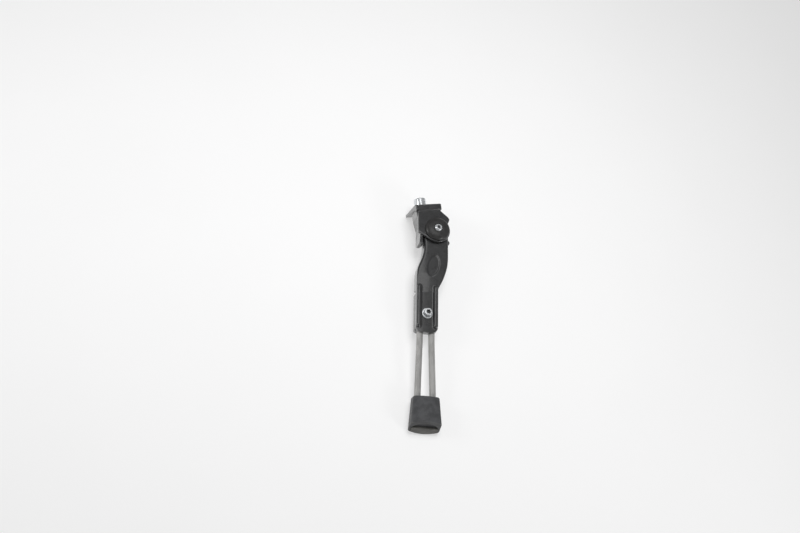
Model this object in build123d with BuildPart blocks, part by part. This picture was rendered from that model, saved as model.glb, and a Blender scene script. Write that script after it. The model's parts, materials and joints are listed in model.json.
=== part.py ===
"""Adjustable side stand for a bicycle: a cast head that bolts under the chain stays, a leg that
folds on a pivot in the head, and a steel rod loop with a rubber foot that slides in the leg.

The model is drawn in the leg's own frame and laid on the bench by `lay`:
x points to the rear of the bicycle, y points up the leg, and z points outwards along the pivot.
In the finished frame +Z is up from the bench, and the stand lies on it with its outer side up.
"""

from build123d import *
import os
from math import cos, radians, sin, tan

os.makedirs("parts", exist_ok=True)

# ---------------------------------------------------------------- driving dimensions (mm, deg)
# How the stand lies: the pivot's place over the bench, and the tilt that rests it on the rear
# edge of its platform and on the inner corner of its foot.
PIVOT_X, PIVOT_Y, PIVOT_Z = 4.530, 103.540, 29.2071
BENCH_TILT = 3.8290

# Platform under the chain stays
LEAN = 11.6  # the leg leans forwards of the platform's normal
SPLAY = 9.0  # the leg stands outwards of the platform's normal
PLATFORM_X, PLATFORM_Y, PLATFORM_Z = -13.3, 34.6, 15.5  # middle of the outer top edge
PLATFORM_WIDTH = 35.4
PLATFORM_DEPTH = 47.5
SLAB, SLAB_END = 6.5, 3.6  # thickness behind the lip and at the inner edge
LIP_DEPTH, LIP_HEIGHT, LIP_BEVEL = 6.0, 9.2, 1.5
BOLT_X, BOLT_DEPTH = -2.6, 24.7  # bolt hole on the platform
BOSS_R, BOSS_LENGTH = 9.0, 20.0

# Mounting bolt, M10 socket head
BOLT_R, BOLT_HEAD_R, BOLT_HEAD = 4.95, 8.0, 10.0
BOLT_SOCKET, BOLT_SOCKET_DEPTH = 8.0, 5.0
BOLT_TIP = 20.0  # how far the shank reaches below the platform's top face
WASHER_R, WASHER, WASHER_GAP = 10.5, 2.0, 0.3
LOCK_WASHER_R, LOCK_WASHER, LOCK_WASHER_GAP = 9.0, 2.5, 0.2
LOCK_SPLIT, LOCK_SLANT = 1.2, 20.0

# Pivot stack, as heights along z
KNUCKLE_R, KNUCKLE_HALF = 16.8, 8.0
CHEEK_IN, CHEEK = 9.0, 4.0
CHEEK_OUT = CHEEK_IN + CHEEK
CHEEK_R = 17.6
INNER_CHEEK_R = 15.0
EAR_X, EAR_Y, EAR_R, HOOK_HOLE_R = 19.6, -6.4, 4.0, 1.8  # ear for the spring hook
PIN_R, PIN_HEAD_R, PIN_HEAD = 6.0, 9.0, 3.5
FIT = 0.05  # radial clearance of a running fit
BUSH_R = 7.5
THRUST_R, THRUST = 12.0, 0.8
SLOT_HALF = 3.1  # half the width of the slot for the detent cam
CAM_R, CAM_HALF, CAM_SLOT_R = 11.0, 2.8, 11.4
CAM_FLAT = 5.0
CAP_R, CAP_RIM, CAP_TOP, CAP_CROWN_R = 16.3, 2.2, 6.0, 7.2
CAP_RECESS_R, CAP_RECESS = 5.9, 1.4
M6_R, M6_GAP = 3.0, 0.3
BUTTON_R, BUTTON_HEIGHT, BUTTON_SOCKET, BUTTON_SOCKET_DEPTH = 5.25, 3.3, 4.0, 2.0

# Detent plunger in the neck
FOLD = 100.0  # the leg's swing from down to folded
PLUNGER_R, PLUNGER_LENGTH, PLUNGER_TRAVEL = 3.5, 12.5, 1.5
DETENT_GAP = 0.15
PLUNGER_TIP = CAM_R + DETENT_GAP
NOTCH_R, NOTCH_BOTTOM = 3.7, 9.3
SPRING_R, SPRING_WIRE_R, SPRING_COILS = 2.7, 0.45, 7
PLUNGER_BORE_END = 41.0

# Leg
LEG_X = -10.5  # centre line of the lower leg
LEG_HALF = 14.3  # half its width
LEG_BACK = -1.2  # rear face of the casting where the clamp plate starts
SHOULDER = 84.0  # where the lower leg starts, below the pivot
RAIL_TOP, RAIL_BOTTOM = 77.0, 134.0
LEG_BOTTOM = 140.0
WEB = 5.0  # front of the web between the rails
RAIL_X, RAIL_WIDTH, RAIL_CREST, RAIL_ROUND = 10.95, 6.2, 8.4, 2.4
FRONT_ROUND, BACK_ROUND, TOE_ROUND = 2.6, 2.0, 8.0  # cast edges of the leg
PANEL_X, PANEL_Y, PANEL_HALF_X, PANEL_HALF_Y, PANEL_TURN, PANEL_DEPTH = -3.4, -50.0, 7.4, 15.0, -14.0, 0.5
CLAMP_Y = 115.0
CLAMP_WASHER_R, CLAMP_WASHER = 6.9, 1.4
CLAMP_HEAD_R, CLAMP_HEAD, CLAMP_SOCKET, CLAMP_SOCKET_DEPTH = 5.0, 6.0, 5.0, 3.0
NUT_HALF, NUT_GAP = 5.0, 0.1  # half the width across flats, and its play in the plate
PLATE_TOP, PLATE_BOTTOM, PLATE_BACK, PLATE_FRONT = 85.0, 138.0, -10.7, -1.6

# Rod loop and foot
ROD_R, ROD_Z, ROD_X = 4.0, -1.5, 7.6
ROD_TOP, ROD_SPLAY, ROD_END, ROD_END_X = 88.0, 150.0, 248.0, 10.4
GROOVE_R, GROOVE_TOP = 4.1, 78.0
FOOT_TOP, FOOT_MID = 220.8, 257.8
FOOT_SLANT = 22.5
FOOT_TOP_X, FOOT_TOP_Z, FOOT_END_X, FOOT_END_Z, FOOT_SIDE_Z = 16.3, 10.0, 19.6, 12.2, 7.0
POCKET = 252.0
PAD_X, PAD_OUTER, PAD_INNER, PAD_BOW = 16.6, -0.6, -6.6, -10.6
PAD_SEAT, PAD_PROUD = 4.0, 0.8
HOLLOW, HOLLOW_BOW = 2.2, 8.6
FOOT_PIN_R, FOOT_PIN_Y, FOOT_PIN_LENGTH = 2.5, 236.5, 16.0

# ---------------------------------------------------------------- planes and directions
across = Vector(cos(radians(LEAN)), sin(radians(LEAN)), 0)
upright = Vector(
    -sin(radians(LEAN)) * cos(radians(SPLAY)), cos(radians(LEAN)) * cos(radians(SPLAY)), sin(radians(SPLAY))
)
BENCH = Location((PIVOT_X, PIVOT_Y, PIVOT_Z)) * Location((0, 0, 0), tuple(across), BENCH_TILT)


def lay(plane):
    """A plane of the leg's frame, laid on the bench."""
    return Plane(BENCH * plane.location)


LEG = lay(Plane.XY)
PLATFORM = lay(Plane(origin=(PLATFORM_X, PLATFORM_Y, PLATFORM_Z), x_dir=across, z_dir=upright))
PLATFORM_SIDE = Plane(origin=PLATFORM.origin, x_dir=PLATFORM.y_dir, z_dir=PLATFORM.x_dir)
BOLT = Plane(
    origin=PLATFORM.from_local_coords((BOLT_X, BOLT_DEPTH, 0)), x_dir=PLATFORM.x_dir, z_dir=PLATFORM.z_dir
)
UP, OUT = [Axis(LEG.origin, direction) for direction in (LEG.y_dir, LEG.z_dir)]


def down_leg(x, y, z=0.0):
    """A plane square to the leg, y below the pivot, whose normal points at the foot."""
    return lay(Plane(origin=(x, -y, z), x_dir=(1, 0, 0), z_dir=(0, -1, 0)))


SOLE = lay(
    Plane(
        origin=(LEG_X, -FOOT_MID, 0),
        x_dir=(1, 0, 0),
        z_dir=(0, -cos(radians(FOOT_SLANT)), sin(radians(FOOT_SLANT))),
    )
)


FOOT_PIN = lay(Plane(origin=(LEG_X, -FOOT_PIN_Y, -13.0), x_dir=(1, 0, 0), z_dir=(0, 0, 1)))
SOLE_EDGE_Y = down_leg(LEG_X, FOOT_MID - 6).origin.Y


def platform_line(x, height):
    """Height at x of a line that runs parallel to the platform, seen along the pivot."""
    return height + (x - PLATFORM_X) * tan(radians(LEAN))


# ---------------------------------------------------------------- head
with BuildPart() as head_bracket:
    # stop wall on the forward side, with its tab hanging below the pivot
    wall_top = 33.5
    with BuildSketch(LEG.offset(-CHEEK_OUT)):
        with BuildLine():
            Polyline(
                (-22.8, -21.0),
                (-21.9, -5.0),
                (-22.6, 4.0),
                (-26.5, 18.0),
                (-28.0, platform_line(-28.0, wall_top)),
                (-18.5, platform_line(-18.5, wall_top)),
                (-18.5, -21.0),
                close=True,
            )
        make_face()
    extrude(amount=CHEEK_OUT + CHEEK_IN + 0.5)
    tab_edges = head_bracket.edges().sort_by(UP)[:4]
    fillet(tab_edges.sort_by(OUT)[0], 8.0)
    # cast rib that the neck rests against
    with BuildSketch(LEG.offset(-6.0)):
        with Locations((-18.0, -16.0)):
            Rectangle(2.6, 8.0)
    extrude(amount=12.0)
    # outer cheek, with a bevelled rim
    with BuildPart(mode=Mode.PRIVATE) as outer_cheek:
        with BuildSketch(LEG.offset(CHEEK_IN)):
            Circle(CHEEK_R)
            with BuildLine():
                Polyline(
                    (-25.9, platform_line(-25.9, 30.0)),
                    (-25.6, 5.0),
                    (-25.2, -6.8),
                    (-7.8, -15.8),
                    (0.0, 0.0),
                    (14.4, 10.1),
                    (15.4, 12.4),
                    (16.9, 16.9),
                    (14.9, 20.2),
                    (4.2, 28.6),
                    (4.2, platform_line(4.2, 30.0)),
                    close=True,
                )
            make_face()
        extrude(amount=CHEEK)
        chamfer(outer_cheek.faces().sort_by(OUT)[-1].edges(), 0.7)
    add(outer_cheek.part)
    # inner cheek with the ear for the spring hook
    with BuildSketch(LEG.offset(-CHEEK_OUT)):
        Circle(INNER_CHEEK_R)
        with BuildLine():
            Polyline(
                (-22.5, platform_line(-22.5, 37.0)),
                (-22.3, -9.0),
                (-6.0, -13.8),
                (0.0, 0.0),
                (14.8, 2.6),
                (9.0, 24.0),
                (3.5, platform_line(3.5, 37.0)),
                close=True,
            )
        make_face()
        with BuildLine():
            Polyline((8.0, -12.6), (19.0, -10.4), (20.6, -2.6), (12.0, 6.0), close=True)
        make_face()
        with Locations((EAR_X, EAR_Y)):
            Circle(EAR_R)
    extrude(amount=CHEEK)
    # platform with its outer lip
    with BuildSketch(PLATFORM_SIDE):
        with BuildLine():
            Polyline(
                (0, -LIP_BEVEL),
                (LIP_BEVEL, 0),
                (PLATFORM_DEPTH, 0),
                (PLATFORM_DEPTH, -SLAB_END),
                (LIP_DEPTH, -SLAB),
                (LIP_DEPTH, -LIP_HEIGHT),
                (LIP_BEVEL, -LIP_HEIGHT),
                (0, LIP_BEVEL - LIP_HEIGHT),
                close=True,
            )
        make_face()
    extrude(amount=PLATFORM_WIDTH / 2, both=True)
    # boss for the bolt thread
    with BuildSketch(BOLT):
        Circle(BOSS_R)
    extrude(amount=-BOSS_LENGTH)
    # holes: pivot pin, bolt thread, spring hook
    with BuildSketch(LEG.offset(-CHEEK_OUT - 1)):
        Circle(PIN_R + FIT)
    extrude(amount=2 * CHEEK_OUT + 2, mode=Mode.SUBTRACT)
    with BuildSketch(BOLT.offset(0.5)):
        Circle(BOLT_R + FIT)
    extrude(amount=-BOSS_LENGTH - 1, mode=Mode.SUBTRACT)
    with BuildSketch(LEG.offset(-CHEEK_OUT - 1)):
        with Locations((EAR_X, EAR_Y)):
            Circle(HOOK_HOLE_R)
    extrude(amount=CHEEK + 2, mode=Mode.SUBTRACT)

with BuildPart() as mounting_bolt:
    head_seat = WASHER + LOCK_WASHER
    with BuildSketch(BOLT.offset(-BOLT_TIP)):
        Circle(BOLT_R)
    extrude(amount=BOLT_TIP + head_seat)
    chamfer(mounting_bolt.faces().sort_by(Axis(BOLT.origin, BOLT.z_dir))[0].edges(), 0.9)
    with BuildSketch(BOLT.offset(head_seat)):
        Circle(BOLT_HEAD_R)
    extrude(amount=BOLT_HEAD)
    chamfer(mounting_bolt.faces().sort_by(Axis(BOLT.origin, BOLT.z_dir))[-1].edges(), 0.8)
    with BuildSketch(BOLT.offset(head_seat + BOLT_HEAD)):
        RegularPolygon(BOLT_SOCKET / 2, 6, major_radius=False)
    extrude(amount=-BOLT_SOCKET_DEPTH, mode=Mode.SUBTRACT)


def ring(plane, outer, inner):
    """A washer's face on a plane."""
    with BuildSketch(plane) as face:
        Circle(outer)
        Circle(inner, mode=Mode.SUBTRACT)
    return face.sketch


with BuildPart() as mounting_washer:
    extrude(ring(BOLT, WASHER_R, BOLT_R + WASHER_GAP), amount=WASHER)

with BuildPart() as spring_lock_washer:
    extrude(ring(BOLT.offset(WASHER), LOCK_WASHER_R, BOLT_R + LOCK_WASHER_GAP), amount=LOCK_WASHER)
    # the split, cut on the slant
    split_plane = Plane(origin=BOLT.offset(WASHER).origin, x_dir=BOLT.z_dir, z_dir=BOLT.y_dir)
    with BuildSketch(split_plane.rotated((0, 0, LOCK_SLANT))):
        Rectangle(3 * LOCK_WASHER, LOCK_SPLIT)
    extrude(amount=LOCK_WASHER_R + 1, mode=Mode.SUBTRACT)

# ---------------------------------------------------------------- pivot
with BuildPart() as pivot_pin:
    with BuildSketch(LEG.offset(-CHEEK_OUT)):
        Circle(PIN_R)
    extrude(amount=2 * CHEEK_OUT - 0.1)
    with BuildSketch(LEG.offset(-CHEEK_OUT)):
        Circle(PIN_HEAD_R)
    extrude(amount=-PIN_HEAD)
    chamfer(pivot_pin.faces().sort_by(OUT)[0].edges(), 1.0)
    # flat that carries the detent cam
    with BuildSketch(LEG.offset(-SLOT_HALF)):
        with Locations((CAM_FLAT + PIN_R, 0)):
            Rectangle(2 * PIN_R, 3 * PIN_R)
    extrude(amount=2 * SLOT_HALF, mode=Mode.SUBTRACT)
    with BuildSketch(LEG.offset(CHEEK_OUT)):
        Circle(M6_R + FIT)
    extrude(amount=-CHEEK_OUT, mode=Mode.SUBTRACT)

with BuildPart() as pivot_bushes:
    for start in (SLOT_HALF + 0.2, -KNUCKLE_HALF + FIT):
        extrude(ring(LEG.offset(start), BUSH_R, PIN_R + FIT), amount=KNUCKLE_HALF - SLOT_HALF - 0.2 - FIT)

with BuildPart() as outer_thrust_washer:
    extrude(ring(LEG.offset(KNUCKLE_HALF + 0.1), THRUST_R, PIN_R + 0.1), amount=THRUST)

with BuildPart() as inner_thrust_washer:
    extrude(ring(LEG.offset(-CHEEK_IN + 0.1), THRUST_R, PIN_R + 0.1), amount=THRUST)

with BuildPart() as detent_cam:
    with BuildSketch(LEG.offset(-CAM_HALF)):
        Circle(CAM_R)
        with BuildSketch(mode=Mode.SUBTRACT):
            Circle(PIN_R + FIT)
            with Locations((CAM_FLAT + FIT + PIN_R, 0)):
                Rectangle(2 * PIN_R, 3 * PIN_R, mode=Mode.SUBTRACT)
        # one notch for the leg down and one for the leg folded
        with PolarLocations(NOTCH_BOTTOM + NOTCH_R, 2, start_angle=-90, angular_range=2 * FOLD):
            Circle(NOTCH_R, mode=Mode.SUBTRACT)
    extrude(amount=2 * CAM_HALF)

with BuildPart() as pivot_cap:
    PROFILE = lay(Plane(origin=(0, 0, CHEEK_OUT), x_dir=(1, 0, 0), z_dir=(0, -1, 0)))
    with BuildSketch(PROFILE):
        with BuildLine():
            Polyline((M6_R + M6_GAP, 0), (CAP_R, 0), (CAP_R, CAP_RIM))
            ThreePointArc((CAP_R, CAP_RIM), (12.9, 4.9), (CAP_CROWN_R, CAP_TOP))
            Polyline(
                (CAP_CROWN_R, CAP_TOP),
                (CAP_RECESS_R + 0.4, CAP_TOP),
                (CAP_RECESS_R, CAP_TOP - 0.4),
                (CAP_RECESS_R, CAP_TOP - CAP_RECESS),
                (M6_R + M6_GAP, CAP_TOP - CAP_RECESS),
                (M6_R + M6_GAP, 0),
            )
        make_face()
    revolve(axis=OUT)

with BuildPart() as pivot_screw:
    seat = CHEEK_OUT + CAP_TOP - CAP_RECESS
    with BuildSketch(LEG.offset(1.0)):
        Circle(M6_R)
    extrude(amount=seat - 1.0)
    with BuildSketch(lay(Plane(origin=(0, 0, seat), x_dir=(1, 0, 0), z_dir=(0, -1, 0)))):
        with BuildLine():
            Polyline((0, BUTTON_HEIGHT), (0, 0), (BUTTON_R, 0), (BUTTON_R, 0.5))
            ThreePointArc((BUTTON_R, 0.5), (4.3, 2.35), (2.4, BUTTON_HEIGHT))
            Line((2.4, BUTTON_HEIGHT), (0, BUTTON_HEIGHT))
        make_face()
    revolve(axis=OUT)
    with BuildSketch(LEG.offset(seat + BUTTON_HEIGHT)):
        RegularPolygon(BUTTON_SOCKET / 2, 6, major_radius=False)
    extrude(amount=-BUTTON_SOCKET_DEPTH, mode=Mode.SUBTRACT)


# ---------------------------------------------------------------- leg
with BuildSketch(LEG.offset(-KNUCKLE_HALF)) as leg_outline:
    # one smooth outline, from the knuckle down the forward side and back up the rear side
    left, right = LEG_X - LEG_HALF, LEG_X + LEG_HALF
    with BuildLine():
        ThreePointArc((KNUCKLE_R, 0), (0, KNUCKLE_R), (-KNUCKLE_R, 0))
        Spline(
            (-KNUCKLE_R, 0),
            (-15.6, -22.0),
            (-18.7, -40.0),
            (-22.6, -50.5),
            (left, -68.0),
            tangents=((0, -1), (0, -1)),
        )
        Polyline((left, -68.0), (left, -LEG_BOTTOM), (right, -LEG_BOTTOM), (right, -SHOULDER))
        Spline(
            (right, -SHOULDER),
            (7.3, -73.5),
            (13.8, -56.6),
            (KNUCKLE_R, -34.0),
            tangents=((0, 1), (0, 1)),
        )
        Line((KNUCKLE_R, -34.0), (KNUCKLE_R, 0))
    make_face()
    fillet(leg_outline.vertices().sort_by(Axis.Y)[:2], TOE_ROUND)

with BuildSketch(down_leg(LEG_X, GROOVE_TOP, ROD_Z)) as rod_grooves:
    with Locations((-ROD_X, 0), (ROD_X, 0)):
        Circle(GROOVE_R)
groove_length = LEG_BOTTOM - GROOVE_TOP + 5


with BuildPart() as leg_casting:
    extrude(leg_outline.sketch, amount=2 * KNUCKLE_HALF)
    fillet(leg_casting.faces().sort_by(OUT)[-1].edges(), FRONT_ROUND)
    fillet(leg_casting.faces().sort_by(OUT)[0].edges(), BACK_ROUND)
    # the front steps down from the neck to the web
    SIDE = lay(Plane(origin=(LEG_X, 0, 0), x_dir=(0, -1, 0), z_dir=(-1, 0, 0)))
    with BuildSketch(SIDE):
        with BuildLine():
            Polyline((62.0, 9.0), (62.0, 8.01), (86.0, WEB), (150.0, WEB), (150.0, 9.0), close=True)
        make_face()
    extrude(amount=40.0, both=True, mode=Mode.SUBTRACT)
    # the back steps in for the clamp plate
    with BuildSketch(LEG.offset(LEG_BACK)):
        with Locations((LEG_X, -SHOULDER - 40)):
            Rectangle(60, 80)
    extrude(amount=-10.0, mode=Mode.SUBTRACT)
    # rounded rails over the rods
    with BuildPart(mode=Mode.PRIVATE) as rails:
        with BuildSketch(LEG.offset(WEB - 1.5)):
            with Locations(*[(LEG_X + side * RAIL_X, -(RAIL_TOP + RAIL_BOTTOM) / 2) for side in (-1, 1)]):
                SlotOverall(RAIL_BOTTOM - RAIL_TOP, RAIL_WIDTH, rotation=90)
        extrude(amount=RAIL_CREST - WEB + 1.5)
        fillet(rails.faces().sort_by(OUT)[-2:].edges(), RAIL_ROUND)
    add(rails.part)
    extrude(rod_grooves.sketch, amount=groove_length, mode=Mode.SUBTRACT)
    # clamp screw hole
    with BuildSketch(LEG.offset(-KNUCKLE_HALF - 1)):
        with Locations((LEG_X, -CLAMP_Y)):
            Circle(M6_R + M6_GAP)
    extrude(amount=20.0, mode=Mode.SUBTRACT)
    # shallow oval panel on the neck
    with BuildSketch(LEG.offset(KNUCKLE_HALF - PANEL_DEPTH)):
        with Locations(Location((PANEL_X, PANEL_Y), PANEL_TURN)):
            Ellipse(PANEL_HALF_X, PANEL_HALF_Y)
    extrude(amount=2 * PANEL_DEPTH, mode=Mode.SUBTRACT)
    # pivot bore, cam slot and plunger bore
    with BuildSketch(LEG.offset(-KNUCKLE_HALF - 1)):
        Circle(BUSH_R + FIT)
    extrude(amount=2 * KNUCKLE_HALF + 2, mode=Mode.SUBTRACT)
    with BuildSketch(LEG.offset(-SLOT_HALF)):
        Circle(CAM_SLOT_R)
        with Locations((0, KNUCKLE_R / 2 + 1)):
            Rectangle(2 * CAM_SLOT_R, KNUCKLE_R + 2)
    extrude(amount=2 * SLOT_HALF, mode=Mode.SUBTRACT)
    with BuildSketch(down_leg(0, CAM_R - 1)):
        Circle(PLUNGER_R + 0.1)
    extrude(amount=PLUNGER_BORE_END - CAM_R + 1, mode=Mode.SUBTRACT)

with BuildPart() as detent_plunger:
    with BuildSketch(down_leg(0, PLUNGER_TIP + PLUNGER_R)):
        Circle(PLUNGER_R)
    extrude(amount=PLUNGER_LENGTH - PLUNGER_R)
    with Locations(down_leg(0, PLUNGER_TIP + PLUNGER_R).location):
        Sphere(PLUNGER_R)

with BuildPart() as detent_spring:
    spring_start = PLUNGER_TIP + PLUNGER_LENGTH + SPRING_WIRE_R + DETENT_GAP
    spring_length = PLUNGER_BORE_END - 0.6 - spring_start
    spring_seat = down_leg(0, spring_start)
    with BuildLine() as coil:
        Helix(
            pitch=spring_length / SPRING_COILS,
            height=spring_length,
            radius=SPRING_R,
            center=spring_seat.origin,
            direction=spring_seat.z_dir,
        )
    with BuildSketch(Plane(origin=coil.line @ 0, z_dir=coil.line % 0)):
        Circle(SPRING_WIRE_R)
    sweep(is_frenet=True)

with BuildPart() as rear_clamp_plate:
    with BuildSketch(LEG.offset(PLATE_FRONT)):
        with Locations((LEG_X, -(PLATE_TOP + PLATE_BOTTOM) / 2)):
            RectangleRounded(2 * LEG_HALF, PLATE_BOTTOM - PLATE_TOP, 4.0)
    extrude(amount=PLATE_BACK - PLATE_FRONT)
    fillet(rear_clamp_plate.faces().sort_by(OUT)[0].edges(), 2.0)
    extrude(rod_grooves.sketch, amount=groove_length, mode=Mode.SUBTRACT)
    with BuildSketch(LEG.offset(PLATE_BACK - 1)):
        with Locations((LEG_X, -CLAMP_Y)):
            Circle(M6_R + M6_GAP)
    extrude(amount=PLATE_FRONT - PLATE_BACK + 2, mode=Mode.SUBTRACT)
    with BuildSketch(LEG.offset(PLATE_BACK - 1)):
        with Locations((LEG_X, -CLAMP_Y)):
            RegularPolygon(NUT_HALF + NUT_GAP, 6, major_radius=False)
    extrude(amount=NUT_HALF + NUT_GAP + 1, mode=Mode.SUBTRACT)

with BuildPart() as clamp_nut:
    with BuildSketch(LEG.offset(PLATE_BACK)):
        with Locations((LEG_X, -CLAMP_Y)):
            RegularPolygon(NUT_HALF, 6, major_radius=False)
            Circle(M6_R + FIT, mode=Mode.SUBTRACT)
    extrude(amount=NUT_HALF)

with BuildPart() as clamp_washer:
    CLAMP = Plane(origin=LEG.from_local_coords((LEG_X, -CLAMP_Y, WEB)), x_dir=LEG.x_dir, z_dir=LEG.z_dir)
    extrude(ring(CLAMP, CLAMP_WASHER_R, M6_R + 0.2), amount=CLAMP_WASHER)

with BuildPart() as clamp_screw:
    # the head rides 0.05 clear of its washer, and the tip stops just inside the nut
    head_seat = CLAMP_WASHER + FIT
    tip = PLATE_BACK - WEB + 0.4
    with BuildSketch(CLAMP.offset(tip)):
        Circle(M6_R)
    extrude(amount=head_seat - tip)
    with BuildSketch(CLAMP.offset(head_seat)):
        Circle(CLAMP_HEAD_R)
    extrude(amount=CLAMP_HEAD)
    chamfer(clamp_screw.faces().sort_by(OUT)[-1].edges(), 0.6)
    with BuildSketch(CLAMP.offset(head_seat + CLAMP_HEAD)):
        RegularPolygon(CLAMP_SOCKET / 2, 6, major_radius=False)
    extrude(amount=-CLAMP_SOCKET_DEPTH, mode=Mode.SUBTRACT)

# ---------------------------------------------------------------- extension
with BuildPart() as rod_loop:
    with BuildLine(lay(Plane(origin=(LEG_X, 0, ROD_Z), x_dir=(1, 0, 0), z_dir=(0, 0, 1)))) as loop:
        FilletPolyline(
            (-ROD_X, -ROD_TOP),
            (-ROD_X, -ROD_SPLAY),
            (-ROD_END_X, -ROD_END),
            (ROD_END_X, -ROD_END),
            (ROD_X, -ROD_SPLAY),
            (ROD_X, -ROD_TOP),
            radius=[60.0, 9.0, 9.0, 60.0],
        )
    with BuildSketch(Plane(origin=loop.line @ 0, z_dir=loop.line % 0)):
        Circle(ROD_R)
    sweep()
    chamfer(rod_loop.faces().filter_by(GeomType.PLANE).edges(), 0.8)


def foot_section(y, half_x, half_z, side_z, corner):
    """A section of the foot: flat sides, and a bowed front and back."""
    with BuildSketch(down_leg(LEG_X, y)) as section:
        with BuildLine():
            ThreePointArc((-half_x, -side_z), (0, -half_z), (half_x, -side_z))
            Line((half_x, -side_z), (half_x, side_z))
            ThreePointArc((half_x, side_z), (0, half_z), (-half_x, side_z))
            Line((-half_x, side_z), (-half_x, -side_z))
        make_face()
        fillet(section.vertices(), corner)
    return section.sketch


FOOT_BLANK = [
    foot_section(FOOT_TOP, FOOT_TOP_X, FOOT_TOP_Z, FOOT_SIDE_Z, 3.0),
    foot_section(FOOT_TOP + 50, FOOT_END_X + 0.6, FOOT_END_Z + 0.6, FOOT_SIDE_Z + 1.0, 3.4),
]

with BuildSketch(SOLE) as pad_outline:
    # the sole pad covers the inner half of the foot's end
    with BuildLine():
        Polyline((-PAD_X, PAD_INNER), (-PAD_X, PAD_OUTER), (PAD_X, PAD_OUTER), (PAD_X, PAD_INNER))
        ThreePointArc((PAD_X, PAD_INNER), (0, PAD_BOW), (-PAD_X, PAD_INNER))
    make_face()
    fillet(pad_outline.vertices(), 1.6)

with BuildPart() as foot_shell:
    loft(FOOT_BLANK)
    fillet(foot_shell.faces().sort_by(UP)[-1].edges(), 2.4)
    # the slanted end
    with BuildSketch(SOLE):
        Rectangle(80, 80)
    extrude(amount=30, mode=Mode.SUBTRACT)
    fillet(foot_shell.edges().filter_by(lambda edge: edge.center().Y < SOLE_EDGE_Y), 1.0)
    # seat of the sole pad, and the hollow in front of it
    extrude(pad_outline.sketch, amount=-PAD_SEAT, mode=Mode.SUBTRACT)
    with BuildSketch(SOLE):
        with BuildLine():
            Line((-PAD_X, PAD_OUTER), (PAD_X, PAD_OUTER))
            ThreePointArc((PAD_X, PAD_OUTER), (0, HOLLOW_BOW), (-PAD_X, PAD_OUTER))
        make_face()
    extrude(amount=-HOLLOW, mode=Mode.SUBTRACT)
    # pocket for the rod loop
    with BuildSketch(down_leg(LEG_X, FOOT_TOP - 1, ROD_Z)):
        SlotOverall(2 * (ROD_END_X + ROD_R) + 1.0, 2 * ROD_R + 0.4)
    extrude(amount=POCKET - FOOT_TOP + 1, mode=Mode.SUBTRACT)
    # blind hole for the retaining pin, from the inner side
    with BuildSketch(FOOT_PIN):
        Circle(FOOT_PIN_R + FIT)
    extrude(amount=FOOT_PIN_LENGTH + 3, mode=Mode.SUBTRACT)

with BuildPart() as foot_sole:
    extrude(pad_outline.sketch, amount=-PAD_SEAT)
    extrude(pad_outline.sketch, amount=PAD_PROUD)

with BuildPart() as foot_pin:
    with BuildSketch(FOOT_PIN.offset(2.0)):
        Circle(FOOT_PIN_R)
        Circle(FOOT_PIN_R - 0.9, mode=Mode.SUBTRACT)
        with Locations((0, FOOT_PIN_R)):
            Rectangle(0.7, 2 * FOOT_PIN_R, mode=Mode.SUBTRACT)
    extrude(amount=FOOT_PIN_LENGTH)

# ---------------------------------------------------------------- write the pieces
PIECES = {
    "head_bracket": head_bracket,
    "mounting_bolt": mounting_bolt,
    "mounting_washer": mounting_washer,
    "spring_lock_washer": spring_lock_washer,
    "pivot_pin": pivot_pin,
    "pivot_bushes": pivot_bushes,
    "outer_thrust_washer": outer_thrust_washer,
    "inner_thrust_washer": inner_thrust_washer,
    "detent_cam": detent_cam,
    "pivot_cap": pivot_cap,
    "pivot_screw": pivot_screw,
    "leg_casting": leg_casting,
    "detent_plunger": detent_plunger,
    "detent_spring": detent_spring,
    "rear_clamp_plate": rear_clamp_plate,
    "clamp_nut": clamp_nut,
    "clamp_washer": clamp_washer,
    "clamp_screw": clamp_screw,
    "rod_loop": rod_loop,
    "foot_shell": foot_shell,
    "foot_sole": foot_sole,
    "foot_pin": foot_pin,
}
for name, piece in PIECES.items():
    piece.part.label = name
    export_step(piece.part, f"parts/{name}.step")

whole = Compound(children=[piece.part for piece in PIECES.values()]).bounding_box()
print("size", whole.size)
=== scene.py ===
"""Looks of an adjustable bicycle side stand, built round its CAD frame.

Lengths named in capitals are millimetres in the leg's own frame: x to the rear of the bicycle,
y up the leg and z outwards along the pivot. Everything Blender holds is in metres.
"""

import json
import math

import bmesh
import bpy
import numpy as np
from bpy.props import FloatProperty, FloatVectorProperty, IntProperty, PointerProperty
from mathutils import Matrix, Quaternion, Vector


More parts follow.
